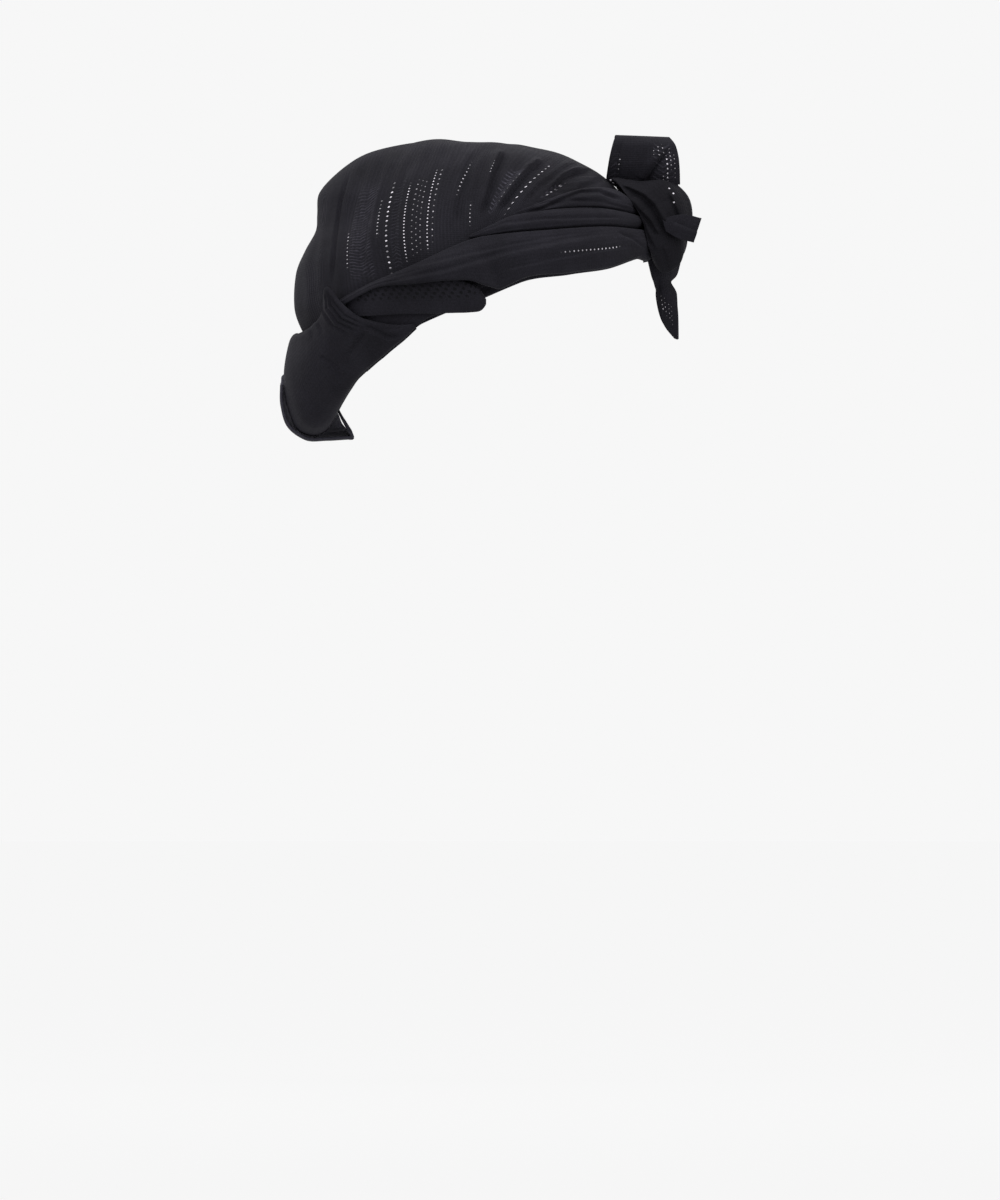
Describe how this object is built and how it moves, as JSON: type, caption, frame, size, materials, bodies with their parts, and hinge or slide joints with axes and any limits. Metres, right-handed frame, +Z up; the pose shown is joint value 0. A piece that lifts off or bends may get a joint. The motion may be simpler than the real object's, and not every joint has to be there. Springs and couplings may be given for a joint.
{
  "type": "durag",
  "caption": "Black lace-knit head wrap with a pleated crown, folded ties, a wound nape roll and a half bow tied above the forehead.",
  "frame": {"origin": "the inside of the crown at the top of the head, where the wrap sits on the head", "axes": "+Z up, -Y towards the wearer's face, -X towards the wearer's right"},
  "size_m": [0.1664, 0.2194, 0.1594],
  "materials": {
    "lace_knit": "matte ribbed knit with rows of eyelets",
    "tie_knit": "matte fine rib knit"
  },
  "bodies": {
    "root": {"crown": "lace_knit", "tie_fold_lower_right": "tie_knit", "tie_fold_middle_right": "tie_knit", "tie_fold_upper_right": "tie_knit", "tie_fold_lower_left": "tie_knit", "tie_fold_upper_left": "tie_knit", "tucked_end": "lace_knit", "under_layer": "tie_knit", "nape_roll": "tie_knit", "nape_flap": "tie_knit", "knot": "tie_knit", "bow_loop": "lace_knit", "short_tail": "tie_knit", "hanging_tail": "lace_knit"}
  },
  "joints": []
}
